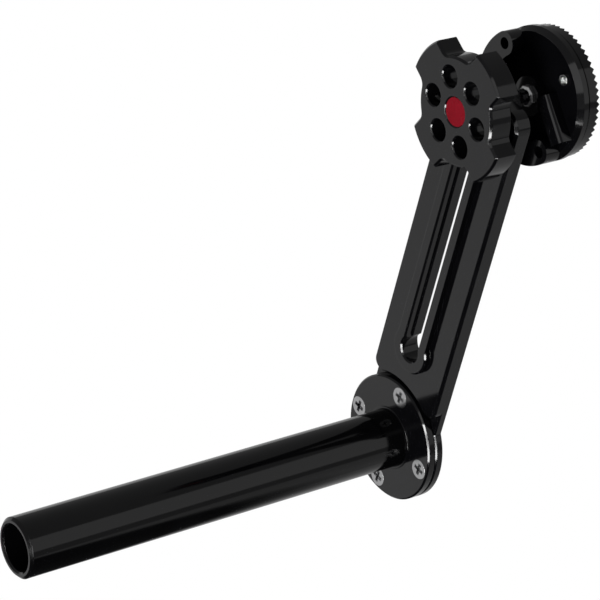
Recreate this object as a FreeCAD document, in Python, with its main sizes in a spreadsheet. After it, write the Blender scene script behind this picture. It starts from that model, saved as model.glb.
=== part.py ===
import FreeCAD, Part
import math
import os
import Sketcher
from FreeCAD import Placement, Rotation, Vector

# Articulating friction arm: a rod, a slotted arm bolted across its end, and a toothed
# rosette head that a knob clamps anywhere along the slot.
# Frame: origin where the rod meets its flange, rod along -Y, arm up along +Z.
# All depths are along Y, from the knob's side (-Y) to the rosette's side (+Y).

doc = FreeCAD.newDocument("friction_arm")
sheet = doc.addObject("Spreadsheet::Sheet", "Sizes")

driving_sizes = {
    # rod and flange
    "rod_diameter": 15.0,
    "rod_bore": 11.5,
    "rod_length": 109.4,
    "rod_end_chamfer": 0.7,
    "rod_bore_chamfer": 0.45,
    "disc_diameter": 32.7,
    "flange_thickness": 2.4,
    "flange_chamfer": 0.4,
    "spigot_length": 14.0,
    "screw_edge": 3.2,
    "screw_count": 4,
    "screw_head": 5.2,
    "screw_shank": 3.0,
    "screw_cone_depth": 1.2,
    "screw_tip_gap": 0.3,
    "screw_overlap": 0.1,
    "recess_span_share": 0.62,
    "recess_width_share": 0.18,
    "recess_depth_share": 0.2,
    # arm
    "arm_width": 25.8,
    "plate_thickness": 4.6,
    "foot_thickness": 2.4,
    "rim_height": 1.6,
    "rim_width": 10.8,
    "rim_end_diameter": 12.7,
    "slot_width": 5.3,
    "web_slot_width": 4.2,
    "back_slot_width": 9.0,
    "back_slot_drop": 1.7,
    "web_thickness": 2.58,
    "front_slot_depth": 2.15,
    "keyhole_diameter": 6.3,
    "keyhole_height": 29.0,
    "stud_height": 101.5,
    "top_margin": 3.9,
    "top_corner": 4.3,
    "lower_corner": 3.0,
    "relief_gap": 0.85,
    "foot_corner": 0.8,
    "arm_chamfer": 0.7,
    "rim_chamfer": 0.4,
    # knob
    "knob_diameter": 34.0,
    "knob_thickness": 6.3,
    "knob_chamfer": 0.5,
    "notch_floor": 13.1,
    "notch_floor_width": 8.2,
    "notch_mouth": 19.8,
    "notch_runout": 1.0,
    "notch_corner": 2.2,
    "notch_count": 4,
    "knob_hole": 5.2,
    "knob_hole_circle": 16.6,
    "knob_hole_count": 6,
    "knob_hole_chamfer": 0.3,
    "knob_turned": 18.8,
    "badge_recess": 7.0,
    "badge_depth": 0.8,
    "badge_thickness": 0.6,
    "insert_diameter": 8.0,
    "insert_depth": 4.2,
    "thrust_washer": 13.0,
    "thrust_washer_thickness": 0.4,
    # stud and what slides on it
    "stud_diameter": 4.0,
    "stud_tip_gap": 0.4,
    "guide_tail": 4.2,
    "back_washer": 11.0,
    "back_washer_thickness": 0.4,
    "spring_washer": 9.0,
    "spring_washer_thickness": 0.4,
    "nut_flats": 7.0,
    "nut_thickness": 3.2,
    # rosette head
    "standoff": 11.2,
    "base_thickness": 2.6,
    "base_chamfer": 1.2,
    "hub_diameter": 9.6,
    "hub_height": 1.9,
    "collar_diameter": 5.4,
    "collar_height": 1.5,
    "collar_facets": 8,
    "collar_bevel": 0.6,
    "pad_height": 4.0,
    "pad_width": 5.8,
    "pad_hole": 2.9,
    "pad_turned": -41.0,
    "rib_offset": 6.4,
    "rib_width": 3.4,
    "rib_height": 3.7,
    "rib_round": 1.5,
    "ring_screw_edge": 3.65,
    "ring_screw_head": 2.6,
    "ring_screw_head_height": 1.1,
    "ring_screw_shank": 1.6,
    "ring_diameter": 31.86,
    "ring_neck": 30.3,
    "ring_neck_length": 0.6,
    "ring_thickness": 2.9,
    "tooth_count": 60,
    "tooth_depth": 0.75,
    "tooth_gap_share": 0.92,
    "tooth_inner": 15.0,
    "centre_insert": 9.0,
    "centre_thread": 5.0,
    "stud_seat_depth": 2.6,
    # clearances
    "running_clearance": 0.05,
    "guide_clearance": 0.06,
    "press_clearance": 0.01,
}

for row, (alias, number) in enumerate(driving_sizes.items(), start=1):
    sheet.set("A%d" % row, alias)
    sheet.set("B%d" % row, str(number))
    sheet.setAlias("B%d" % row, alias)
doc.recompute()


def size(alias):
    return float(sheet.get(alias))


def ref(alias):
    return "Sizes." + alias


# Levels along Y and shared radii, as expressions of the driving sizes.
foot_face = ref("flange_thickness")
arm_back = "(Sizes.flange_thickness + Sizes.foot_thickness)"
plate_face = "(%s - Sizes.plate_thickness)" % arm_back
rim_face = "(%s - Sizes.rim_height)" % plate_face
web_front = "(%s + Sizes.front_slot_depth)" % rim_face
web_back = "(%s + Sizes.web_thickness)" % web_front
knob_back = "(%s - Sizes.thrust_washer_thickness)" % rim_face
knob_front = "(%s - Sizes.knob_thickness)" % knob_back
insert_front = "(%s - Sizes.insert_depth)" % knob_back
badge_back = "(%s + Sizes.badge_depth)" % knob_front
badge_front = "(%s - Sizes.badge_thickness)" % badge_back
washer_back = "(%s + Sizes.back_washer_thickness)" % arm_back
spring_back = "(%s + Sizes.spring_washer_thickness)" % washer_back
nut_back = "(%s + Sizes.nut_thickness)" % spring_back
base_face = "(%s + Sizes.standoff)" % arm_back
pad_face = "(%s - Sizes.pad_height)" % base_face
hub_face = "(%s - Sizes.hub_height)" % base_face
collar_face = "(%s - Sizes.collar_height)" % hub_face
base_back = "(%s + Sizes.base_thickness)" % base_face
ring_front = "(%s + Sizes.ring_neck_length)" % base_back
ring_back = "(%s + Sizes.ring_thickness)" % ring_front
tooth_floor = "(%s - Sizes.tooth_depth)" % ring_back
stud_front = "(%s + Sizes.stud_tip_gap)" % insert_front
stud_back = "(%s + Sizes.stud_seat_depth)" % hub_face

disc_radius = "Sizes.disc_diameter / 2"
screw_reach = "(Sizes.disc_diameter / 2 - Sizes.screw_edge)"
pad_reach = "(Sizes.disc_diameter / 2 - Sizes.pad_width / 2)"
ring_screw_reach = "(Sizes.disc_diameter / 2 - Sizes.ring_screw_edge)"
stud_radius = "Sizes.stud_diameter / 2"
stud_bore = "(Sizes.stud_diameter / 2 + Sizes.running_clearance)"
stud_seat = "(Sizes.stud_diameter / 2 + Sizes.press_clearance)"


def origin_plane(body, role):
    return next(item for item in body.Origin.OriginFeatures if item.Role == role)


def make_body(label, on_stud_axis=False, turned=None):
    body = doc.addObject("PartDesign::Body", label)
    body.Label = label
    body.Placement = Placement(Vector(0, 0, 0), Rotation(Vector(0, -1, 0), 0))
    if on_stud_axis:
        body.setExpression("Placement.Base.z", ref("stud_height"))
    if turned:
        body.Placement = Placement(Vector(0, 0, 0), Rotation(Vector(0, -1, 0), size(turned)))
        body.setExpression("Placement.Rotation.Angle", "%s * 1 deg" % ref(turned))
    return body


# A sketch square to Y at a given depth. Its own X is the part's X and its own Y is the height.
def face_sketch(body, name, level):
    sketch = body.newObject("Sketcher::SketchObject", name)
    sketch.AttachmentSupport = [(origin_plane(body, "XZ_Plane"), "")]
    sketch.MapMode = "FlatFace"
    sketch.setExpression("AttachmentOffset.Base.z", "-1 * (%s)" % level)
    return sketch


def bind(sketch, constraint, expression):
    index = sketch.addConstraint(constraint)
    sketch.setExpression("Constraints[%d]" % index, expression)


# One circle, at the sketch's origin or out along its axes.
def circle(radius, across=None, height=None):
    def draw(sketch):
        side = -1 if height and height.startswith("-") else 1
        start = Vector(1 if across else 0, side if height else 0, 0)
        edge = sketch.addGeometry(Part.Circle(start, Vector(0, 0, 1), 1.0), False)
        bind(sketch, Sketcher.Constraint("Radius", edge, 1.0), radius)
        if across and height:
            bind(sketch, Sketcher.Constraint("DistanceX", -1, 1, edge, 3, 1.0), across)
            bind(sketch, Sketcher.Constraint("DistanceY", -1, 1, edge, 3, 1.0), height)
        elif height:
            sketch.addConstraint(Sketcher.Constraint("PointOnObject", edge, 3, -2))
            bind(sketch, Sketcher.Constraint("DistanceY", -1, 1, edge, 3, 1.0), height)
        elif across:
            sketch.addConstraint(Sketcher.Constraint("PointOnObject", edge, 3, -1))
            bind(sketch, Sketcher.Constraint("DistanceX", -1, 1, edge, 3, 1.0), across)
        else:
            sketch.addConstraint(Sketcher.Constraint("Coincident", edge, 3, -1, 1))
    return draw


# A rectangle centred on the height axis, between two heights above the origin.
def band(width, low, high):
    def draw(sketch):
        corners = [Vector(-1, 1, 0), Vector(1, 1, 0), Vector(1, 2, 0), Vector(-1, 2, 0)]
        lines = []
        for i in range(4):
            lines.append(sketch.addGeometry(Part.LineSegment(corners[i], corners[(i + 1) % 4]), False))
        for i in range(4):
            sketch.addConstraint(Sketcher.Constraint("Coincident", lines[i], 2, lines[(i + 1) % 4], 1))
        sketch.addConstraint(Sketcher.Constraint("Horizontal", lines[2]))
        sketch.addConstraint(Sketcher.Constraint("Vertical", lines[1]))
        sketch.addConstraint(Sketcher.Constraint("Symmetric", lines[0], 1, lines[0], 2, -2))
        sketch.addConstraint(Sketcher.Constraint("Vertical", lines[3]))
        bind(sketch, Sketcher.Constraint("DistanceX", lines[0], 1, lines[0], 2, 2.0), width)
        if low is None:
            sketch.addConstraint(Sketcher.Constraint("PointOnObject", lines[0], 1, -1))
        else:
            bind(sketch, Sketcher.Constraint("DistanceY", -1, 1, lines[0], 1, 1.0), low)
        bind(sketch, Sketcher.Constraint("DistanceY", -1, 1, lines[2], 1, 2.0), high)
    return draw


# The half of a ring that lies under the sketch's horizontal axis.
def lower_half_ring(outer, inner):
    def draw(sketch):
        far, close = depth(outer), depth(inner)
        big, small = (sketch.addGeometry(Part.ArcOfCircle(
            Part.Circle(Vector(0, 0, 0), Vector(0, 0, 1), radius), math.pi, 2 * math.pi), False)
            for radius in (far, close))
        left = sketch.addGeometry(Part.LineSegment(Vector(-far, 0, 0), Vector(-close, 0, 0)), False)
        right = sketch.addGeometry(Part.LineSegment(Vector(close, 0, 0), Vector(far, 0, 0)), False)
        for arc in (big, small):
            sketch.addConstraint(Sketcher.Constraint("Coincident", arc, 3, -1, 1))
            sketch.addConstraint(Sketcher.Constraint("PointOnObject", arc, 1, -1))
            sketch.addConstraint(Sketcher.Constraint("PointOnObject", arc, 2, -1))
        sketch.addConstraint(Sketcher.Constraint("Coincident", big, 1, left, 1))
        sketch.addConstraint(Sketcher.Constraint("Coincident", small, 1, left, 2))
        sketch.addConstraint(Sketcher.Constraint("Coincident", small, 2, right, 1))
        sketch.addConstraint(Sketcher.Constraint("Coincident", big, 2, right, 2))
        bind(sketch, Sketcher.Constraint("Radius", big, far), outer)
        bind(sketch, Sketcher.Constraint("Radius", small, close), inner)
    return draw


def add(body, name, front, back, draw):
    sketch = face_sketch(body, name + "_outline", back)
    draw(sketch)
    pad = body.newObject("PartDesign::Pad", name)
    pad.Profile = sketch
    pad.setExpression("Length", "(%s) - (%s)" % (back, front))
    return pad


def remove(body, name, front, back, draw):
    sketch = face_sketch(body, name + "_outline", front)
    draw(sketch)
    pocket = body.newObject("PartDesign::Pocket", name)
    pocket.Profile = sketch
    pocket.setExpression("Length", "(%s) - (%s)" % (back, front))
    return pocket


def repeat(body, feature, count):
    pattern = body.newObject("PartDesign::PolarPattern", feature.Name + "_pattern")
    pattern.Originals = [feature]
    pattern.Axis = (feature.Profile[0], ["N_Axis"])
    pattern.Angle = 360
    pattern.setExpression("Occurrences", count)
    body.Tip = pattern
    return pattern


def break_edges(body, kind, name, amount, wanted):
    doc.recompute()
    base = body.Tip
    names = []
    for number, edge in enumerate(base.Shape.Edges, start=1):
        if wanted(edge):
            names.append("Edge%d" % number)
    feature = body.newObject("PartDesign::" + kind, name)
    feature.Base = (base, names)
    feature.setExpression("Size" if kind == "Chamfer" else "Radius", amount)
    return feature


def near(value, target):
    return abs(value - target) < 0.001


# True for edges that lie whole in the plane at one depth.
def lies_at(edge, level):
    box = edge.BoundBox
    return near(box.YMin, level) and near(box.YMax, level)


# True for full or part circles of one radius.
def round_edge(edge, radius):
    return isinstance(edge.Curve, Part.Circle) and near(edge.Curve.Radius, radius)


def depth(expression):
    return float(sheet.evalExpression(expression))


def rod_tube():
    body = make_body("rod_tube")
    free_end = "-1 * Sizes.rod_length"
    add(body, "tube_wall", free_end, "0", circle("Sizes.rod_diameter / 2"))
    remove(body, "tube_bore", free_end, "0", circle("Sizes.rod_bore / 2"))
    end = -size("rod_length")
    break_edges(body, "Chamfer", "tube_end_chamfer", ref("rod_end_chamfer"),
                lambda edge: lies_at(edge, end) and round_edge(edge, size("rod_diameter") / 2))
    break_edges(body, "Chamfer", "tube_bore_chamfer", ref("rod_bore_chamfer"),
                lambda edge: lies_at(edge, end) and round_edge(edge, size("rod_bore") / 2))
    return body


# A turned disc with a spigot that the tube is pressed over.
def rod_flange():
    body = make_body("flange_blank")
    spigot = "(Sizes.rod_bore / 2 - Sizes.press_clearance)"
    add(body, "flange_disc", "0", foot_face, circle(disc_radius))
    add(body, "flange_spigot", "-1 * Sizes.spigot_length", "0", circle(spigot))
    shank = "(Sizes.screw_shank / 2 + Sizes.running_clearance)"
    hole = remove(body, "flange_hole", "0", foot_face, circle(shank, across=screw_reach))
    repeat(body, hole, ref("screw_count"))
    break_edges(body, "Chamfer", "flange_edge", ref("flange_chamfer"),
                lambda edge: round_edge(edge, size("disc_diameter") / 2))
    sinks = []
    for number in range(int(size("screw_count"))):
        across, height = screw_place(number)
        sinks.append(cone("flange_sink_%d" % number, "(Sizes.screw_head / 2 + Sizes.running_clearance)", shank,
                          "0", ref("screw_cone_depth"), across, height))
    return cut("rod_flange", body, fuse("flange_sinks", sinks))


# Where one of the flange's screws stands.
def screw_place(number):
    turn = "%d * 360 / Sizes.screw_count" % number
    return "(%s * cos(%s * 1 deg))" % (screw_reach, turn), "(%s * sin(%s * 1 deg))" % (screw_reach, turn)


# Rotation that lays a cylinder's or cone's own axis along +Y.
along_depth = Rotation(Vector(1, 0, 0), -90)


def place_round(item, start, across=None, height=None):
    item.Placement = Placement(Vector(0, 0, 0), along_depth)
    item.setExpression("Placement.Base.y", start)
    if across:
        item.setExpression("Placement.Base.x", across)
    if height:
        item.setExpression("Placement.Base.z", height)
    return item


def cylinder(name, radius, start, end, across=None, height=None):
    item = doc.addObject("Part::Cylinder", name)
    item.setExpression("Radius", radius)
    item.setExpression("Height", "(%s) - (%s)" % (end, start))
    return place_round(item, start, across, height)


def cone(name, radius_start, radius_end, start, end, across=None, height=None):
    item = doc.addObject("Part::Cone", name)
    item.setExpression("Radius1", radius_start)
    item.setExpression("Radius2", radius_end)
    item.setExpression("Height", "(%s) - (%s)" % (end, start))
    return place_round(item, start, across, height)


def cut(label, base, tool):
    item = doc.addObject("Part::Cut", label)
    item.Label = label
    item.Base = base
    item.Tool = tool
    return item


def fuse(label, shapes):
    item = doc.addObject("Part::MultiFuse", label)
    item.Label = label
    item.Shapes = shapes
    return item


def group(label, members):
    item = doc.addObject("Part::Compound", label)
    item.Label = label
    item.Links = members
    return item


# A cross recess: two crossed slots sunk into a head's face, in proportion to the head.
def cross_recess(name, face, head, across, height):
    long_side = "(%s * Sizes.recess_span_share)" % head
    short_side = "(%s * Sizes.recess_width_share)" % head
    bars = []
    for turn, (span_x, span_z) in enumerate(((long_side, short_side), (short_side, long_side))):
        bar = doc.addObject("Part::Box", "%s_bar_%d" % (name, turn))
        bar.setExpression("Length", span_x)
        bar.setExpression("Height", span_z)
        bar.setExpression("Width", "%s * Sizes.recess_depth_share" % head)
        bar.setExpression("Placement.Base.x", "%s - %s / 2" % (across, span_x))
        bar.setExpression("Placement.Base.y", face)
        bar.setExpression("Placement.Base.z", "%s - %s / 2" % (height, span_z))
        bars.append(bar)
    return fuse(name, bars)


# Four countersunk screws, heads flush with the flange, shanks down through the foot.
def flange_screws():
    screws = []
    tip = "(%s - Sizes.screw_tip_gap)" % arm_back
    for number in range(int(size("screw_count"))):
        across, height = screw_place(number)
        name = "flange_screw_%d" % number
        head = cone(name + "_head", "Sizes.screw_head / 2", "Sizes.screw_shank / 2",
                    "0", ref("screw_cone_depth"), across, height)
        shank = cylinder(name + "_shank", "Sizes.screw_shank / 2", ref("screw_overlap"), tip, across, height)
        solid = fuse(name + "_solid", [head, shank])
        recess = cross_recess(name + "_cross", "0", ref("screw_head"), across, height)
        screws.append(cut(name, solid, recess))
    return group("flange_screws", screws)


# The arm: a foot disc under the flange, a thicker plate relieved round the flange,
# and a raised rim about a slot that steps down to a narrower web and ends in a keyhole.
def arm_plate():
    body = make_body("arm_plate")
    top = "(Sizes.stud_height + Sizes.top_margin)"
    add(body, "foot_disc", foot_face, arm_back, circle(disc_radius))
    add(body, "back_layer", foot_face, arm_back, band(ref("arm_width"), None, top))
    add(body, "front_layer", plate_face, foot_face, band(ref("arm_width"), None, top))
    relief = "(Sizes.disc_diameter / 2 + Sizes.relief_gap)"
    remove(body, "flange_relief", plate_face, foot_face, circle(relief))
    width = size("arm_width")
    top_level = size("stud_height") + size("top_margin")
    relief_radius = size("disc_diameter") / 2 + size("relief_gap")
    relief_meets = math.sqrt(relief_radius ** 2 - (width / 2) ** 2)

    def upright_at(edge, across, height):
        middle = edge.CenterOfMass
        lengthwise = near(edge.BoundBox.XLength, 0) and near(edge.BoundBox.ZLength, 0)
        return lengthwise and near(abs(middle.x), across) and near(middle.z, height)

    break_edges(body, "Fillet", "top_corners", ref("top_corner"),
                lambda edge: upright_at(edge, width / 2, top_level))
    break_edges(body, "Fillet", "lower_corners", ref("lower_corner"),
                lambda edge: upright_at(edge, width / 2, relief_meets))
    foot_meets = math.sqrt((size("disc_diameter") / 2) ** 2 - (width / 2) ** 2)
    break_edges(body, "Fillet", "foot_corners", ref("foot_corner"),
                lambda edge: upright_at(edge, width / 2, foot_meets))
    plate_level = depth(plate_face)
    break_edges(body, "Chamfer", "plate_edge", ref("arm_chamfer"),
                lambda edge: lies_at(edge, plate_level) and edge.BoundBox.ZMax > relief_meets
                and not round_edge(edge, relief_radius))
    add(body, "rim_sides", rim_face, plate_face, band(ref("rim_width"), ref("keyhole_height"), top))
    add(body, "rim_end", rim_face, plate_face, circle("Sizes.rim_end_diameter / 2", height=ref("keyhole_height")))
    add_slot(body, "front_slot", rim_face, web_front, ref("slot_width"))
    add_slot(body, "web_slot", web_front, web_back, ref("web_slot_width"))
    back_end = "(Sizes.stud_height - Sizes.back_slot_drop)"
    remove(body, "back_slot", web_back, arm_back, band(ref("back_slot_width"), ref("keyhole_height"), back_end))
    for name, height in (("back_slot_top", back_end), ("back_slot_foot", ref("keyhole_height"))):
        remove(body, name, web_back, arm_back, circle("Sizes.back_slot_width / 2", height=height))
    remove(body, "keyhole", rim_face, arm_back, circle("Sizes.keyhole_diameter / 2", height=ref("keyhole_height")))
    hole = remove(body, "foot_tap", foot_face, arm_back,
                  circle("(Sizes.screw_shank / 2 + Sizes.press_clearance)", across=screw_reach))
    repeat(body, hole, ref("screw_count"))
    rim_level = depth(rim_face)
    break_edges(body, "Chamfer", "rim_edge", ref("rim_chamfer"),
                lambda edge: lies_at(edge, rim_level) and edge.BoundBox.ZMax < top_level - 0.001
                and abs(edge.CenterOfMass.x) < size("rim_width") / 2 - 0.5)
    for name, level in (("foot_edge", depth(arm_back)), ("foot_rim", depth(foot_face))):
        break_edges(body, "Chamfer", name, "Sizes.rim_chamfer",
                    lambda edge: lies_at(edge, level) and round_edge(edge, size("disc_diameter") / 2))
    return body


def add_slot(body, name, front, back, width):
    remove(body, name, front, back, band(width, ref("keyhole_height"), ref("stud_height")))
    remove(body, name + "_end", front, back, circle("(%s) / 2" % width, height=ref("stud_height")))


# How far an edge's middle lies from its own body's axis.
def from_stud(edge):
    return math.hypot(edge.CenterOfMass.x, edge.CenterOfMass.z)


# One notch of the knob: a floor concentric with the rim, and flanks that open outwards.
def notch_outline(sketch):
    floor = size("notch_floor")
    low = size("notch_floor_width") / 2
    wide = size("notch_mouth") / 2
    far = size("knob_diameter") / 2 + size("notch_runout")
    turn = math.asin(low / floor)
    start = Vector(floor * math.cos(turn), -low, 0)
    end = Vector(start.x, low, 0)
    circle_shape = Part.Circle(Vector(0, 0, 0), Vector(0, 0, 1), floor)
    arc = sketch.addGeometry(Part.ArcOfCircle(circle_shape, -turn, turn), False)
    upper = sketch.addGeometry(Part.LineSegment(end, Vector(far, wide, 0)), False)
    mouth = sketch.addGeometry(Part.LineSegment(Vector(far, wide, 0), Vector(far, -wide, 0)), False)
    lower = sketch.addGeometry(Part.LineSegment(Vector(far, -wide, 0), start), False)
    sketch.addConstraint(Sketcher.Constraint("Coincident", arc, 3, -1, 1))
    sketch.addConstraint(Sketcher.Constraint("Coincident", arc, 2, upper, 1))
    sketch.addConstraint(Sketcher.Constraint("Coincident", upper, 2, mouth, 1))
    sketch.addConstraint(Sketcher.Constraint("Coincident", mouth, 2, lower, 1))
    sketch.addConstraint(Sketcher.Constraint("Coincident", lower, 2, arc, 1))
    sketch.addConstraint(Sketcher.Constraint("Symmetric", mouth, 1, mouth, 2, -1))
    bind(sketch, Sketcher.Constraint("Radius", arc, floor), ref("notch_floor"))
    bind(sketch, Sketcher.Constraint("DistanceY", -1, 1, arc, 2, low), "Sizes.notch_floor_width / 2")
    bind(sketch, Sketcher.Constraint("DistanceY", arc, 1, -1, 1, low), "Sizes.notch_floor_width / 2")
    bind(sketch, Sketcher.Constraint("DistanceY", mouth, 2, mouth, 1, 2 * wide), ref("notch_mouth"))
    bind(sketch, Sketcher.Constraint("DistanceX", -1, 1, mouth, 1, far),
         "Sizes.knob_diameter / 2 + Sizes.notch_runout")


def knob_body():
    body = make_body("knob_body", on_stud_axis=True, turned="knob_turned")
    add(body, "knob_disc", knob_front, knob_back, circle("Sizes.knob_diameter / 2"))
    notch = remove(body, "knob_notch", knob_front, knob_back, notch_outline)
    repeat(body, notch, ref("notch_count"))
    corner_reach = size("notch_floor")
    break_edges(body, "Fillet", "notch_corners", ref("notch_corner"),
                lambda edge: near(edge.BoundBox.XLength, 0) and near(edge.BoundBox.ZLength, 0)
                and near(from_stud(edge), corner_reach))
    side = "(Sizes.knob_hole_circle / 2 * cos(45 deg))"
    hole = remove(body, "knob_hole", knob_front, knob_back,
                  circle("Sizes.knob_hole / 2", across=side, height=side))
    repeat(body, hole, ref("knob_hole_count"))
    remove(body, "badge_seat", knob_front, badge_back, circle("Sizes.badge_recess / 2"))
    remove(body, "insert_seat", insert_front, knob_back,
           circle("(Sizes.insert_diameter / 2 + Sizes.press_clearance)"))
    front = depth(knob_front)
    back = depth(knob_back)
    break_edges(body, "Chamfer", "knob_rim", ref("knob_chamfer"),
                lambda edge: (lies_at(edge, front) or lies_at(edge, back))
                and from_stud(edge) > size("notch_floor") * 0.8)
    break_edges(body, "Chamfer", "knob_hole_rim", ref("knob_hole_chamfer"),
                lambda edge: lies_at(edge, front)
                and (round_edge(edge, size("knob_hole") / 2) or round_edge(edge, size("badge_recess") / 2)))
    return body


# A plain ring on the stud's axis.
def bush(label, outer, inner, front, back):
    wall = cylinder(label + "_wall", outer, front, back, height=ref("stud_height"))
    bore = cylinder(label + "_bore", inner, front, back, height=ref("stud_height"))
    return cut(label, wall, bore)


def knob_badge():
    disc = cylinder("knob_badge", "(Sizes.badge_recess / 2 - Sizes.press_clearance)",
                    badge_front, badge_back, height=ref("stud_height"))
    disc.Label = "knob_badge"
    return disc


# The bush that rides in the arm's front slot.
def front_guide():
    radius = "(Sizes.slot_width / 2 - Sizes.guide_clearance)"
    return bush("front_guide", radius, stud_bore, "(%s + Sizes.guide_clearance)" % rim_face, web_front)


# The key that rides in the arm's back slot and keeps the slider from turning.
def back_guide():
    body = make_body("back_guide", on_stud_axis=True)
    half = "(Sizes.back_slot_width / 2 - Sizes.guide_clearance)"
    add(body, "key_round", web_back, arm_back, circle(half, height="-1 * Sizes.back_slot_drop"))
    tail = face_sketch(body, "key_tail_outline", arm_back)
    draw_tail(tail, "(Sizes.back_slot_width - 2 * Sizes.guide_clearance)", ref("guide_tail"))
    pad = body.newObject("PartDesign::Pad", "key_tail")
    pad.Profile = tail
    pad.setExpression("Length", "(%s) - (%s)" % (arm_back, web_back))
    remove(body, "key_bore", web_back, arm_back, circle(stud_bore))
    return body


# A rectangle that hangs down from the middle of the key's round top.
def draw_tail(sketch, width, length):
    corners = [Vector(-1, -1, 0), Vector(1, -1, 0), Vector(1, -3, 0), Vector(-1, -3, 0)]
    lines = [sketch.addGeometry(Part.LineSegment(corners[i], corners[(i + 1) % 4]), False) for i in range(4)]
    for i in range(4):
        sketch.addConstraint(Sketcher.Constraint("Coincident", lines[i], 2, lines[(i + 1) % 4], 1))
    sketch.addConstraint(Sketcher.Constraint("Symmetric", lines[0], 1, lines[0], 2, -2))
    bind(sketch, Sketcher.Constraint("DistanceY", lines[0], 1, -1, 1, 1.0), ref("back_slot_drop"))
    sketch.addConstraint(Sketcher.Constraint("Horizontal", lines[2]))
    sketch.addConstraint(Sketcher.Constraint("Vertical", lines[1]))
    sketch.addConstraint(Sketcher.Constraint("Vertical", lines[3]))
    bind(sketch, Sketcher.Constraint("DistanceX", lines[0], 1, lines[0], 2, 2.0), width)
    bind(sketch, Sketcher.Constraint("DistanceY", lines[1], 2, lines[1], 1, 2.0), length)


def clamp_stud():
    stud = cylinder("clamp_stud", stud_radius, stud_front, stud_back, height=ref("stud_height"))
    stud.Label = "clamp_stud"
    return stud


def stud_nut():
    prism = doc.addObject("Part::Prism", "stud_nut_prism")
    prism.Polygon = 6
    prism.setExpression("Circumradius", "Sizes.nut_flats / 2 / cos(30 deg)")
    prism.setExpression("Height", ref("nut_thickness"))
    place_round(prism, spring_back, height=ref("stud_height"))
    bore = cylinder("stud_nut_bore", stud_seat, spring_back, nut_back, height=ref("stud_height"))
    return cut("stud_nut", prism, bore)


# The bright faceted collar round the stud where it enters the hub.
def hub_collar():
    prism = doc.addObject("Part::Prism", "collar_prism")
    prism.setExpression("Polygon", ref("collar_facets"))
    prism.setExpression("Circumradius", "Sizes.collar_diameter / 2")
    prism.setExpression("Height", ref("collar_height"))
    place_round(prism, collar_face, height=ref("stud_height"))
    doc.recompute()
    front, bevel = depth(collar_face), size("collar_bevel")
    bevelled = doc.addObject("Part::Chamfer", "collar_bevels")
    bevelled.Base = prism
    bevelled.Edges = [(number, bevel, bevel) for number, edge in enumerate(prism.Shape.Edges, start=1)
                      if lies_at(edge, front)]
    bore = cylinder("collar_bore", stud_seat, collar_face, hub_face, height=ref("stud_height"))
    return cut("hub_collar", bevelled, bore)


# The rosette's carrier: a disc with a hub, and half a ring of raised pad with round ends.
def rosette_base():
    body = make_body("rosette_base", on_stud_axis=True, turned="pad_turned")
    pad_outer = disc_radius
    pad_inner = "(Sizes.disc_diameter / 2 - Sizes.pad_width)"
    add(body, "base_disc", base_face, base_back, circle(disc_radius))
    level = depth(base_face)
    break_edges(body, "Chamfer", "base_rim", ref("base_chamfer"),
                lambda edge: lies_at(edge, level) and round_edge(edge, size("disc_diameter") / 2))
    add(body, "pad_ring", pad_face, base_face, lower_half_ring(pad_outer, pad_inner))
    end = add(body, "pad_end", pad_face, base_face,
              circle("Sizes.pad_width / 2", across=pad_reach))
    repeat(body, end, "2")
    add(body, "pad_skirt", base_face, base_back, lower_half_ring(pad_outer, pad_inner))
    add(body, "hub", hub_face, base_face, circle("Sizes.hub_diameter / 2"))
    rib = add_rib(body)
    remove(body, "stud_socket", hub_face, stud_back, circle(stud_seat))
    remove(body, "insert_socket", stud_back, base_back,
           circle("(Sizes.centre_insert / 2 + Sizes.press_clearance)"))
    hole = remove(body, "pad_hole", pad_face, base_face,
                  circle("Sizes.pad_hole / 2", across=pad_reach))
    repeat(body, hole, "2")
    shank = "(Sizes.ring_screw_shank / 2 + Sizes.press_clearance)"
    clear = remove(body, "ring_screw_hole", base_face, base_back, circle(shank, height=ring_screw_reach))
    repeat(body, clear, "2")
    head = "(Sizes.ring_screw_head / 2 + 2 * Sizes.running_clearance)"
    remove(body, "ring_screw_well", pad_face, base_face, circle(head, height="-" + ring_screw_reach))
    return body, rib


# A low rib that runs from beside the hub out to the disc's rim.
def add_rib(body):
    sketch = face_sketch(body, "rib_outline", base_face)
    half = size("rib_width") / 2
    offset = size("rib_offset")
    near_end, far_end = half, size("disc_diameter") / 3
    corners = [Vector(near_end, offset - half, 0), Vector(far_end, offset - half, 0),
               Vector(far_end, offset + half, 0), Vector(near_end, offset + half, 0)]
    lines = [sketch.addGeometry(Part.LineSegment(corners[i], corners[(i + 1) % 4]), False) for i in range(4)]
    for i in range(4):
        sketch.addConstraint(Sketcher.Constraint("Coincident", lines[i], 2, lines[(i + 1) % 4], 1))
    sketch.addConstraint(Sketcher.Constraint("Horizontal", lines[0]))
    sketch.addConstraint(Sketcher.Constraint("Horizontal", lines[2]))
    sketch.addConstraint(Sketcher.Constraint("Vertical", lines[1]))
    sketch.addConstraint(Sketcher.Constraint("Vertical", lines[3]))
    bind(sketch, Sketcher.Constraint("DistanceY", lines[1], 1, lines[1], 2, 1.8), ref("rib_width"))
    bind(sketch, Sketcher.Constraint("DistanceY", -1, 1, lines[0], 1, 4.3),
         "(Sizes.rib_offset - Sizes.rib_width / 2)")
    bind(sketch, Sketcher.Constraint("DistanceX", -1, 1, lines[0], 1, 1.0), "Sizes.rib_width / 2")
    bind(sketch, Sketcher.Constraint("DistanceX", -1, 1, lines[0], 2, 12.0), pad_reach)
    pad = body.newObject("PartDesign::Pad", "rib")
    pad.Profile = sketch
    pad.setExpression("Length", ref("rib_height"))
    top = depth("(%s) - Sizes.rib_height" % base_face)
    break_edges(body, "Fillet", "rib_round", ref("rib_round"),
                lambda edge: lies_at(edge, top) and edge.Length > size("rib_width") * 2
                and abs(edge.CenterOfMass.z) > offset)
    return pad


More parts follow.
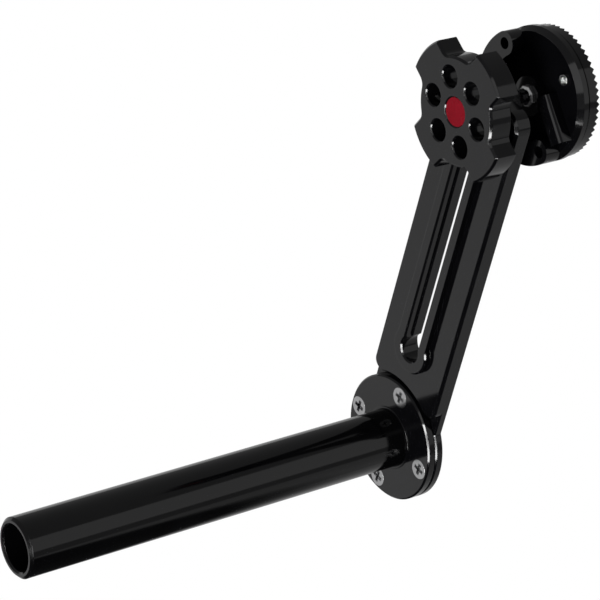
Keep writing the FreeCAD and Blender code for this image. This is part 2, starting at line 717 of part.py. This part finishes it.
# Where one of the ring's screws stands, a quarter turn from the pad's ends.
def ring_screw_place(side):
    turn = "(Sizes.pad_turned + %d) * 1 deg" % (90 * side)
    across = "(%s * cos(%s))" % (ring_screw_reach, turn)
    return across, "(Sizes.stud_height + %s * sin(%s))" % (ring_screw_reach, turn)


# Two screws that hold the toothed ring on.
def ring_screws():
    screws = []
    for number, sign in enumerate((1, -1)):
        across, height = ring_screw_place(sign)
        name = "ring_screw_%d" % number
        head = cylinder(name + "_head", "Sizes.ring_screw_head / 2",
                        "(%s - Sizes.ring_screw_head_height)" % base_face, base_face, across, height)
        shank = cylinder(name + "_shank", "Sizes.ring_screw_shank / 2",
                         "(%s - Sizes.screw_overlap)" % base_face, "(%s - Sizes.screw_tip_gap)" % tooth_floor, across, height)
        solid = fuse(name + "_solid", [head, shank])
        recess = cross_recess(name + "_cross", "(%s - Sizes.ring_screw_head_height)" % base_face,
                              ref("ring_screw_head"), across, height)
        screws.append(cut(name, solid, recess))
    return group("ring_screws", screws)


# The V gaps between the rosette's teeth, each wider and deeper towards the rim.
def tooth_gaps():
    count = int(size("tooth_count"))
    rim = size("ring_diameter") / 2
    face = depth(ring_back)
    sections = []
    for radius in (size("tooth_inner") / 2, rim + 0.5):
        share = radius / rim
        half = math.pi * rim / count * share * size("tooth_gap_share")
        floor = face - size("tooth_depth") * share
        above = face + 0.04 * share
        spread = half * (above - floor) / (face - floor)
        corners = [Vector(radius, above, -spread), Vector(radius, above, spread), Vector(radius, floor, 0)]
        sections.append(Part.makePolygon(corners + corners[:1]))
    wedge = Part.makeLoft(sections, True, True)
    gaps = []
    for number in range(count):
        gap = wedge.copy()
        gap.rotate(Vector(0, 0, 0), Vector(0, 1, 0), 360.0 / count * number)
        gap.translate(Vector(0, 0, size("stud_height")))
        gaps.append(gap)
    item = doc.addObject("Part::Feature", "tooth_gaps")
    item.Shape = Part.makeCompound(gaps)
    return item


def rosette_ring():
    axis = ref("stud_height")
    crown = cylinder("ring_crown", "Sizes.ring_diameter / 2", ring_front, ring_back, height=axis)
    neck = cylinder("ring_neck", "Sizes.ring_neck / 2", base_back, ring_front, height=axis)
    blank = fuse("ring_blank", [crown, neck])
    bore = cylinder("ring_bore", "(Sizes.centre_insert / 2 + Sizes.press_clearance)", base_back, ring_back, height=axis)
    holes = [bore]
    for number, sign in enumerate((1, -1)):
        across, height = ring_screw_place(sign)
        holes.append(cylinder("ring_tap_%d" % number, "(Sizes.ring_screw_shank / 2 + Sizes.press_clearance)",
                              base_back, tooth_floor, across, height))
    drilled = cut("ring_drilled", blank, fuse("ring_holes", holes))
    return cut("rosette_ring", drilled, tooth_gaps())


rod_tube_part = rod_tube()
rod_flange_part = rod_flange()
flange_screw_set = flange_screws()
arm = arm_plate()
knob = knob_body()
badge = knob_badge()
insert = bush("knob_insert", "Sizes.insert_diameter / 2", stud_bore, insert_front, knob_back)
thrust = bush("thrust_washer", "Sizes.thrust_washer / 2", stud_bore, knob_back, rim_face)
guide = front_guide()
key = back_guide()
stud = clamp_stud()
back_washer = bush("back_washer", "Sizes.back_washer / 2", stud_bore, arm_back, washer_back)
spring = bush("spring_washer", "Sizes.spring_washer / 2", stud_seat, washer_back, spring_back)
nut = stud_nut()
collar = hub_collar()
base, rib_pad = rosette_base()
ring = rosette_ring()
ring_screw_set = ring_screws()
centre = bush("centre_insert", "Sizes.centre_insert / 2", "Sizes.centre_thread / 2",
              stud_back, "(%s - Sizes.running_clearance)" % tooth_floor)

doc.recompute()

nodes = [rod_tube_part, rod_flange_part, flange_screw_set, arm, knob, badge, insert, thrust, guide, key,
         stud, back_washer, spring, nut, collar, base, ring, ring_screw_set, centre]

for item in doc.Objects:
    if "Invalid" in item.State or "Error" in item.State:
        raise RuntimeError("%s did not build: %s" % (item.Label, item.State))
    if item.TypeId == "PartDesign::Pocket" and item.Shape.Volume >= item.BaseFeature.Shape.Volume:
        raise RuntimeError("%s cuts nothing" % item.Label)

for node in nodes:
    if node.Shape.isNull() or not node.Shape.isValid() or not node.Shape.Solids:
        raise RuntimeError("%s has no valid solid" % node.Label)

os.makedirs("parts", exist_ok=True)
for node in nodes:
    node.Shape.exportStep("parts/%s.step" % node.Label)
    box = node.Shape.BoundBox
    print("%-16s solids %d  volume %9.1f  x %7.2f %7.2f  y %7.2f %7.2f  z %7.2f %7.2f" % (
        node.Label, len(node.Shape.Solids), node.Shape.Volume,
        box.XMin, box.XMax, box.YMin, box.YMax, box.ZMin, box.ZMax))
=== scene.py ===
import bpy
import math
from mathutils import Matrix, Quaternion, Vector


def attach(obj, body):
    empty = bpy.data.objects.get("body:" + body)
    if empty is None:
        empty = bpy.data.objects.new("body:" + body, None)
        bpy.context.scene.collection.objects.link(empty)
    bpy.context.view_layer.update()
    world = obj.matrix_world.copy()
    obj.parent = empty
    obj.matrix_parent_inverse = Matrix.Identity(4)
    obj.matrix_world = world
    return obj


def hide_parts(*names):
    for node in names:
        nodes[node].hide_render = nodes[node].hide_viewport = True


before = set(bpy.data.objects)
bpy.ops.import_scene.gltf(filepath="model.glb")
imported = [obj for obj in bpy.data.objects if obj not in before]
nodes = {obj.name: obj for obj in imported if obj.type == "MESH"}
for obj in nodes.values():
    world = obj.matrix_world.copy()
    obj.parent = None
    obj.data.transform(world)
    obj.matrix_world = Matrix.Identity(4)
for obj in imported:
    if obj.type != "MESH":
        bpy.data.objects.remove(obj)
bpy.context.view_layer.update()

# Where the camera stood, what it looked at and how far it was rolled.
cameraSetup = {
    "place": (0.38109, -0.39174, 0.43005),
    "lookAt": (-0.0302, -0.0132, 0.0255),
    "rollDegrees": 13.9,
    "lens": 164.11,
    "sensor": 36.0,
    "clipStart": 0.01,
}


def makeCamera(setup):
    data = bpy.data.cameras.new("photoCamera")
    data.lens = setup["lens"]
    data.sensor_width = setup["sensor"]
    data.clip_start = setup["clipStart"]
    camera = bpy.data.objects.new("photoCamera", data)
    bpy.context.collection.objects.link(camera)
    camera.location = setup["place"]
    toward = Vector(setup["lookAt"]) - Vector(setup["place"])
    roll = Quaternion((0, 0, 1), math.radians(setup["rollDegrees"]))
    camera.rotation_mode = "QUATERNION"
    camera.rotation_quaternion = toward.to_track_quat("-Z", "Y") @ roll
    bpy.context.scene.camera = camera
    print("camera placed")


makeCamera(cameraSetup)

studio = {
    "floorHeight": -0.30,
    "floorSize": 12.0,
    "floorTone": 0.8,
    "glossLeft": 0.74,         # how bright the floor is in the metal, towards -X and -Y
    "glossRight": 0.48,        # and towards +X and +Y
    "glossSpan": (-0.5, 0.5),  # the range of X + Y between the two
    "dimSlope": 0.4,           # the floor's dim part: where Y - dimSlope * X is low,
    "dimSpan": (0.085, 0.15),
    "dimLimit": (-0.2, -0.05),  # and X is above this range
    "dimShare": 0.04,
    "skyStrength": 0.24,
    "aim": (0, 0, 0.05),       # the point that every lamp faces
    "lamps": {
        "topLight": {"size": (1.2, 1.2), "watts": 6.0,
                     "place": (-0.35, 0.15, 0.95), "roll": 0, "glossy": False},
        "sideLight": {"size": (0.5, 0.5), "watts": 3.0,
                      "place": (-0.8, -0.5, 0.35), "roll": 0, "glossy": False},
        "glintStrip": {"size": (0.13, 0.62), "watts": 8.0,
                       "place": (0.37, -0.57, 0.07), "roll": 27, "glossy": True},
        "cameraCard": {"size": (0.45, 0.45), "watts": 0.7,
                       "place": (0.31, -0.68, 0.55), "roll": 0, "glossy": True},
        "skyCard": {"size": (1.6, 1.24), "watts": 3.3,
                    "place": (1.01, 0.9, 0.85), "roll": -25, "glossy": True},
    },
}


# A value that moves from one level to another while the input crosses a range.
def ramp(tree, source, span, levels):
    node = tree.nodes.new("ShaderNodeMapRange")
    node.inputs["From Min"].default_value, node.inputs["From Max"].default_value = span
    node.inputs["To Min"].default_value, node.inputs["To Max"].default_value = levels
    tree.links.new(source, node.inputs["Value"])
    return node.outputs["Result"]


def calculate(tree, operation, first, second):
    node = tree.nodes.new("ShaderNodeMath")
    node.operation = operation
    tree.links.new(first, node.inputs[0])
    tree.links.new(second, node.inputs[1])
    return node.outputs[0]


# Shows one shader to a kind of ray and the other to the rest.
def mixByRay(tree, ray, rest, chosen):
    lightPath = tree.nodes.new("ShaderNodeLightPath")
    mix = tree.nodes.new("ShaderNodeMixShader")
    tree.links.new(lightPath.outputs[ray], mix.inputs[0])
    tree.links.new(rest, mix.inputs[1])
    tree.links.new(chosen, mix.inputs[2])
    return mix.outputs[0]


def makeFloorMaterial(setup):
    material = bpy.data.materials.new("studioFloor")
    material.use_nodes = True
    tree = material.node_tree
    tree.nodes.clear()
    out = tree.nodes.new("ShaderNodeOutputMaterial")
    place = tree.nodes.new("ShaderNodeTexCoord")
    apart = tree.nodes.new("ShaderNodeSeparateXYZ")
    tree.links.new(place.outputs["Object"], apart.inputs[0])
    x, y = apart.outputs["X"], apart.outputs["Y"]
    slope = tree.nodes.new("ShaderNodeValue")
    slope.outputs[0].default_value = setup["dimSlope"]
    across = calculate(tree, "ADD", x, y)
    side = ramp(tree, across, setup["glossSpan"], (setup["glossLeft"], setup["glossRight"]))
    ahead = calculate(tree, "SUBTRACT", y, calculate(tree, "MULTIPLY", x, slope.outputs[0]))
    behind = ramp(tree, ahead, setup["dimSpan"], (setup["dimShare"], 1.0))
    leftPart = ramp(tree, x, setup["dimLimit"], (1.0, 0.0))
    gloss = calculate(tree, "MULTIPLY", side, calculate(tree, "MAXIMUM", behind, leftPart))
    seen = tree.nodes.new("ShaderNodeEmission")
    seen.inputs["Strength"].default_value = 1.0
    reflected = tree.nodes.new("ShaderNodeEmission")
    tree.links.new(gloss, reflected.inputs["Strength"])
    plain = tree.nodes.new("ShaderNodeBsdfDiffuse")
    plain.inputs["Color"].default_value = (*[setup["floorTone"]] * 3, 1)
    mirrored = mixByRay(tree, "Is Glossy Ray", plain.outputs[0], reflected.outputs[0])
    surface = mixByRay(tree, "Is Camera Ray", mirrored, seen.outputs[0])
    tree.links.new(surface, out.inputs["Surface"])
    return material


def makeStudio(setup):
    bpy.ops.object.select_all(action="DESELECT")
    bpy.ops.mesh.primitive_plane_add(size=setup["floorSize"], location=(0, 0, setup["floorHeight"]))
    floor = bpy.context.object
    floor.name = "studioFloor"
    floor.data.materials.append(makeFloorMaterial(setup))
    for name, lampSetup in setup["lamps"].items():
        data = bpy.data.lights.new(name, "AREA")
        data.shape = "RECTANGLE"
        data.size, data.size_y = lampSetup["size"]
        data.energy = lampSetup["watts"]
        lamp = bpy.data.objects.new(name, data)
        bpy.context.collection.objects.link(lamp)
        lamp.location = lampSetup["place"]
        lamp.visible_camera = False
        lamp.visible_glossy = lampSetup["glossy"]
        aim = Vector(setup["aim"]) - Vector(lampSetup["place"])
        lamp.rotation_mode = "QUATERNION"
        turn = Quaternion((0, 0, 1), math.radians(lampSetup["roll"]))
        lamp.rotation_quaternion = aim.to_track_quat("-Z", "Y") @ turn
    world = bpy.data.worlds.new("studioWorld")
    world.use_nodes = True
    tree = world.node_tree
    tree.nodes.clear()
    out = tree.nodes.new("ShaderNodeOutputWorld")
    soft = tree.nodes.new("ShaderNodeBackground")
    soft.inputs["Strength"].default_value = setup["skyStrength"]
    white = tree.nodes.new("ShaderNodeBackground")
    white.inputs["Strength"].default_value = 1.0
    for background in (soft, white):
        background.inputs["Color"].default_value = (1, 1, 1, 1)
    surface = mixByRay(tree, "Is Camera Ray", soft.outputs[0], white.outputs[0])
    tree.links.new(surface, out.inputs["Surface"])
    bpy.context.scene.world = world
    bpy.context.scene.view_settings.view_transform = "Standard"
    print("studio lit")


makeStudio(studio)


# Shared effects are node groups, and this makes an empty one with its sockets.
def makeGroup(name, inputs, outputs):
    group = bpy.data.node_groups.new(name, "ShaderNodeTree")
    for label, value in inputs:
        socket = group.interface.new_socket(name=label, in_out="INPUT", socket_type="NodeSocketFloat")
        socket.default_value = value
    for label, kind in outputs:
        group.interface.new_socket(name=label, in_out="OUTPUT", socket_type=kind)
    return group, group.nodes.new("NodeGroupInput"), group.nodes.new("NodeGroupOutput")


# The metal's surface: a mottle for colour and roughness, and a fine grain for bumps.
grainSetup = {
    "mottleDetail": 4.0,
    "grainDetail": 2.0,
    "mottleSpan": (0.3, 0.7),
    "bumpDistance": 0.001,
    "edgeSamples": 6,
}


def makeAnodisedGrain(setup):
    group, given, result = makeGroup(
        "anodisedGrain",
        [("Mottle Scale", 90.0), ("Grain Scale", 2600.0), ("Rough Low", 0.12), ("Rough High", 0.2)],
        [("Roughness", "NodeSocketFloat"), ("Mottle", "NodeSocketFloat"), ("Height", "NodeSocketFloat")])
    place = group.nodes.new("ShaderNodeTexCoord")
    mottle = group.nodes.new("ShaderNodeTexNoise")
    mottle.inputs["Detail"].default_value = setup["mottleDetail"]
    grain = group.nodes.new("ShaderNodeTexNoise")
    grain.inputs["Detail"].default_value = setup["grainDetail"]
    for texture, label in ((mottle, "Mottle Scale"), (grain, "Grain Scale")):
        group.links.new(place.outputs["Object"], texture.inputs["Vector"])
        group.links.new(given.outputs[label], texture.inputs["Scale"])
    spread = group.nodes.new("ShaderNodeMapRange")
    group.links.new(mottle.outputs["Fac"], spread.inputs["Value"])
    spread.inputs["From Min"].default_value, spread.inputs["From Max"].default_value = setup["mottleSpan"]
    group.links.new(given.outputs["Rough Low"], spread.inputs["To Min"])
    group.links.new(given.outputs["Rough High"], spread.inputs["To Max"])
    group.links.new(spread.outputs["Result"], result.inputs["Roughness"])
    group.links.new(mottle.outputs["Fac"], result.inputs["Mottle"])
    group.links.new(grain.outputs["Fac"], result.inputs["Height"])
    return group


anodisedGrain = makeAnodisedGrain(grainSetup)

# One entry a finish: two colours that the mottle moves between, the gloss, and the grain's size and depth.
finishes = {
    "blackAnodised": {"dark": (0.0006, 0.0006, 0.0008), "light": (0.002, 0.002, 0.0024), "metallic": 0.0,
                      "specular": 0.33, "rough": (0.05, 0.12), "mottle": 140.0, "grain": 5200.0,
                      "bump": 0.004, "edge": 0.00016},
    "blackRod": {"dark": (0.0004, 0.0004, 0.0005), "light": (0.0012, 0.0012, 0.0014), "metallic": 0.0,
                 "specular": 0.36, "rough": (0.07, 0.13), "mottle": 90.0, "grain": 4200.0,
                 "bump": 0.006, "edge": 0.00016},
    "blackAcetal": {"dark": (0.001, 0.001, 0.001), "light": (0.003, 0.003, 0.003), "metallic": 0.0,
                    "specular": 0.28, "rough": (0.2, 0.3), "mottle": 200.0, "grain": 3000.0,
                    "bump": 0.01, "edge": 0.00012},
    "blackOxide": {"dark": (0.0015, 0.0015, 0.002), "light": (0.005, 0.005, 0.006), "metallic": 0.0,
                   "specular": 0.4, "rough": (0.15, 0.25), "mottle": 500.0, "grain": 3000.0,
                   "bump": 0.01, "edge": 0.00008},
    "brightSteel": {"dark": (0.34, 0.34, 0.345), "light": (0.5, 0.5, 0.505), "metallic": 1.0,
                    "specular": 0.5, "rough": (0.12, 0.26), "mottle": 700.0, "grain": 5000.0,
                    "bump": 0.01, "edge": 0.00012},
    "turnedBrass": {"dark": (0.5, 0.34, 0.12), "light": (0.7, 0.52, 0.22), "metallic": 1.0,
                    "specular": 0.5, "rough": (0.18, 0.3), "mottle": 500.0, "grain": 4000.0,
                    "bump": 0.01, "edge": 0.00016},
    "brightCollar": {"dark": (0.82, 0.82, 0.825), "light": (0.95, 0.95, 0.955), "metallic": 1.0,
                     "specular": 0.5, "rough": (0.16, 0.26), "mottle": 500.0, "grain": 5000.0,
                     "bump": 0.01, "edge": 0.00024},
    "redBadge": {"dark": (0.085, 0.0008, 0.0035), "light": (0.12, 0.0014, 0.006), "metallic": 0.0,
                 "specular": 0.04, "rough": (0.2, 0.32), "mottle": 300.0, "grain": 3000.0,
                 "bump": 0.005, "edge": 0.00016},
}
# The head's carrier gets its gloss from a coat instead, so that a mask can take it off the dished face as
# painted shade.
finishes["blackHeadDishShade"] = {**finishes["blackAnodised"], "specular": 0.0}


def makeFinish(name, look):
    material = bpy.data.materials.new(name)
    material.use_nodes = True
    tree = material.node_tree
    shader = tree.nodes["Principled BSDF"]
    shader.inputs["Metallic"].default_value = look["metallic"]
    shader.inputs["Specular IOR Level"].default_value = look["specular"]
    grain = tree.nodes.new("ShaderNodeGroup")
    grain.node_tree = anodisedGrain
    grain.inputs["Mottle Scale"].default_value = look["mottle"]
    grain.inputs["Grain Scale"].default_value = look["grain"]
    grain.inputs["Rough Low"].default_value, grain.inputs["Rough High"].default_value = look["rough"]
    colour = tree.nodes.new("ShaderNodeMix")
    colour.data_type = "RGBA"
    colour.inputs["A"].default_value = (*look["dark"], 1)
    colour.inputs["B"].default_value = (*look["light"], 1)
    tree.links.new(grain.outputs["Mottle"], colour.inputs["Factor"])
    bump = tree.nodes.new("ShaderNodeBump")
    bump.inputs["Strength"].default_value = look["bump"]
    bump.inputs["Distance"].default_value = grainSetup["bumpDistance"]
    tree.links.new(grain.outputs["Height"], bump.inputs["Height"])
    softEdge = tree.nodes.new("ShaderNodeBevel")      # every machined edge is broken a little
    softEdge.samples = grainSetup["edgeSamples"]
    softEdge.inputs["Radius"].default_value = look["edge"]
    tree.links.new(softEdge.outputs["Normal"], bump.inputs["Normal"])
    tree.links.new(colour.outputs["Result"], shader.inputs["Base Color"])
    tree.links.new(grain.outputs["Roughness"], shader.inputs["Roughness"])
    tree.links.new(bump.outputs["Normal"], shader.inputs["Normal"])
    return material


materials = {name: makeFinish(name, look) for name, look in finishes.items()}

finishOf = {
    "rod_tube": "blackRod",
    "rod_flange": "blackAnodised",
    "flange_screws": "brightSteel",
    "arm_plate": "blackAnodised",
    "front_guide": "blackAcetal",
    "back_guide": "blackAcetal",
    "back_washer": "blackAcetal",
    "spring_washer": "brightSteel",
    "stud_nut": "blackOxide",
    "clamp_stud": "blackOxide",
    "hub_collar": "brightCollar",
    "rosette_base": "blackHeadDishShade",
    "rosette_ring": "blackAnodised",
    "ring_screws": "brightCollar",
    "centre_insert": "brightSteel",
    "thrust_washer": "blackAcetal",
    "knob_body": "blackAnodised",
    "knob_insert": "turnedBrass",
    "knob_badge": "redBadge",
}

# The head's flat dished face is given no gloss so that it renders black. This is painted shade, standing
# in for the dark reflection of the knob and arm in the real glossy face. It lies the carrier's thickness
# in front of its back.
headDishShade = {
    "node": "rosette_base",
    "thickness": 0.0026,
    "near": 0.00006,     # how exactly a point has to lie on the face
    "reach": 0.0151,     # how far the face goes from the head's axis
    "coatIor": 1.42,
    "coatRough": 0.08,
}


# 0 on the face and 1 everywhere else; the 0 marks where painted shade takes the gloss off.
def makeDishShadeMask():
    group, given, result = makeGroup(
        "dishShadeMask",
        [("Level", 0.0), ("Near", 0.0001), ("Middle", 0.0), ("Reach", 0.01)],
        [("Outside", "NodeSocketFloat")])
    place = group.nodes.new("ShaderNodeTexCoord")
    apart = group.nodes.new("ShaderNodeSeparateXYZ")
    group.links.new(place.outputs["Object"], apart.inputs[0])
    compare = group.nodes.new("ShaderNodeMath")
    compare.operation = "COMPARE"
    group.links.new(apart.outputs["Y"], compare.inputs[0])
    group.links.new(given.outputs["Level"], compare.inputs[1])
    group.links.new(given.outputs["Near"], compare.inputs[2])
    x = apart.outputs["X"]
    z = calculate(group, "SUBTRACT", apart.outputs["Z"], given.outputs["Middle"])
    squareX, squareZ = (calculate(group, "MULTIPLY", side, side) for side in (x, z))
    squares = calculate(group, "ADD", squareX, squareZ)
    reach = calculate(group, "MULTIPLY", given.outputs["Reach"], given.outputs["Reach"])
    within = calculate(group, "LESS_THAN", squares, reach)
    flip = group.nodes.new("ShaderNodeMath")
    flip.operation = "SUBTRACT"
    flip.inputs[0].default_value = 1.0
    group.links.new(calculate(group, "MULTIPLY", compare.outputs[0], within), flip.inputs[1])
    group.links.new(flip.outputs[0], result.inputs["Outside"])
    return group


# Takes the gloss off the dished face so that it renders black: painted shade.
def paintDishShade(setup, material):
    solid = nodes[setup["node"]]
    corners = [Vector(corner) for corner in solid.bound_box]
    tree = material.node_tree
    mask = tree.nodes.new("ShaderNodeGroup")
    mask.node_tree = makeDishShadeMask()
    mask.inputs["Level"].default_value = max(corner.y for corner in corners) - setup["thickness"]
    mask.inputs["Near"].default_value = setup["near"]
    mask.inputs["Middle"].default_value = sum(corner.z for corner in corners) / len(corners)
    mask.inputs["Reach"].default_value = setup["reach"]
    shader = tree.nodes["Principled BSDF"]
    shader.inputs["Coat IOR"].default_value = setup["coatIor"]
    shader.inputs["Coat Roughness"].default_value = setup["coatRough"]
    tree.links.new(mask.outputs["Outside"], shader.inputs["Coat Weight"])
    print("dish dulled")


paintDishShade(headDishShade, materials["blackHeadDishShade"])

for nodeName, finishName in finishOf.items():
    for slot in nodes[nodeName].material_slots:
        slot.material = materials[finishName]
    if not nodes[nodeName].material_slots:
        nodes[nodeName].data.materials.append(materials[finishName])
print("finishes on")


def pickOnly(piece):
    bpy.ops.object.select_all(action="DESELECT")
    piece.select_set(True)
    bpy.context.view_layer.objects.active = piece


# Turns a piece made along Z so that it lies along Y, and leaves its object at the origin.
def settle(piece, place):
    pickOnly(piece)
    piece.location = place
    piece.rotation_euler = (math.radians(90), 0, 0)
    bpy.ops.object.transform_apply(location=True, rotation=True, scale=True)


def editAll(piece):
    pickOnly(piece)
    bpy.ops.object.mode_set(mode="EDIT")
    bpy.ops.mesh.select_all(action="SELECT")


# Rounds a piece's sharp edges for good.
def roundEdges(piece, width, steps):
    bevel = piece.modifiers.new("round", "BEVEL")
    bevel.width = width
    bevel.segments = steps
    bevel.limit_method = "ANGLE"
    bpy.ops.object.modifier_apply(modifier=bevel.name)


# The thin lip that stands round the rod where it meets the flange.
rodLip = {
    "inner": 0.00752,
    "outer": 0.0082,
    "proud": 0.00028,
    "sink": 0.0001,
    "round": 0.0001,
    "roundSteps": 3,
    "segments": 128,
    "smoothDegrees": 40,
}


def makeRodLip(setup):
    bpy.ops.object.select_all(action="DESELECT")
    bpy.ops.mesh.primitive_circle_add(vertices=setup["segments"], radius=setup["outer"])
    piece = bpy.context.object
    piece.name = "rodLip"
    editAll(piece)
    bpy.ops.mesh.extrude_region_move()
    inner = setup["inner"] / setup["outer"]
    bpy.ops.transform.resize(value=(inner, inner, 1.0), center_override=(0, 0, 0))
    bpy.ops.mesh.select_all(action="SELECT")
    thick = setup["proud"] + setup["sink"]
    bpy.ops.mesh.extrude_region_move(TRANSFORM_OT_translate={"value": (0, 0, thick)})
    bpy.ops.mesh.select_all(action="SELECT")
    bpy.ops.mesh.normals_make_consistent(inside=False)
    bpy.ops.object.mode_set(mode="OBJECT")
    roundEdges(piece, setup["round"], setup["roundSteps"])
    settle(piece, (0, setup["sink"], 0))
    bpy.ops.object.shade_smooth_by_angle(angle=math.radians(setup["smoothDegrees"]))
    piece.data.materials.append(materials["blackAnodised"])
    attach(piece, "arm")
    print("rod lip made")


makeRodLip(rodLip)

# The clamp stud's thread: a round core with a ridge that winds along it.
studThread = {
    "node": "clamp_stud",
    "pitch": 0.0007,
    "depth": 0.00038,
    "ridgeShare": 0.45,   # half the ridge's width at its foot, as a share of the pitch
    "stepsPerTurn": 36,
    "coreSides": 48,
    "ends": 0.0004,
    "endSteps": 2,
    "smoothDegrees": 35,
}


def makeStudThread(setup):
    solid = nodes[setup["node"]]
    corners = [solid.matrix_world @ Vector(corner) for corner in solid.bound_box]
    low, high = (pick(corner.y for corner in corners) for pick in (min, max))
    middleX, middleZ = (sum(corner[i] for corner in corners) / len(corners) for i in (0, 2))
    radius = (max(corner.x for corner in corners) - min(corner.x for corner in corners)) / 2
    length = high - low
    root = radius - setup["depth"]
    bpy.ops.object.select_all(action="DESELECT")
    bpy.ops.mesh.primitive_cylinder_add(vertices=setup["coreSides"], radius=root, depth=length,
                                        location=(0, 0, length / 2))
    piece = bpy.context.object
    piece.name = "studThread"
    bpy.ops.object.transform_apply(location=True, rotation=True, scale=True)
    roundEdges(piece, setup["ends"], setup["endSteps"])
    bpy.ops.object.select_all(action="DESELECT")
    ridgeHalf = setup["pitch"] * setup["ridgeShare"]
    bpy.ops.mesh.primitive_circle_add(vertices=4, radius=ridgeHalf, rotation=(math.radians(90), 0, 0),
                                      location=(root, 0, setup["pitch"] / 2 + setup["ends"]))
    ridge = bpy.context.object
    bpy.ops.object.transform_apply(location=True, rotation=True, scale=True)
    editAll(ridge)
    reach = setup["depth"] / ridgeHalf
    bpy.ops.transform.resize(value=(reach, 1.0, 1.0), center_override=(root, 0, 0))
    bpy.ops.object.mode_set(mode="OBJECT")
    wind = ridge.modifiers.new("wind", "SCREW")
    wind.axis = "Z"
    wind.screw_offset = setup["pitch"]
    turns = int((length - 2 * setup["ends"] - setup["pitch"]) / setup["pitch"])
    wind.iterations = turns
    wind.steps = wind.render_steps = setup["stepsPerTurn"]
    bpy.ops.object.modifier_apply(modifier=wind.name)
    editAll(ridge)
    bpy.ops.mesh.select_non_manifold()
    bpy.ops.mesh.fill()
    bpy.ops.mesh.select_all(action="SELECT")
    bpy.ops.mesh.normals_make_consistent(inside=False)
    bpy.ops.object.mode_set(mode="OBJECT")
    piece.select_set(True)
    bpy.context.view_layer.objects.active = piece
    bpy.ops.object.join()
    settle(piece, (middleX, high, middleZ))
    bpy.ops.object.shade_smooth_by_angle(angle=math.radians(setup["smoothDegrees"]))
    piece.data.materials.clear()
    piece.data.materials.append(materials["blackOxide"])
    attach(piece, "head")
    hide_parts(setup["node"])
    print("stud thread made, turns:", turns)


makeStudThread(studThread)
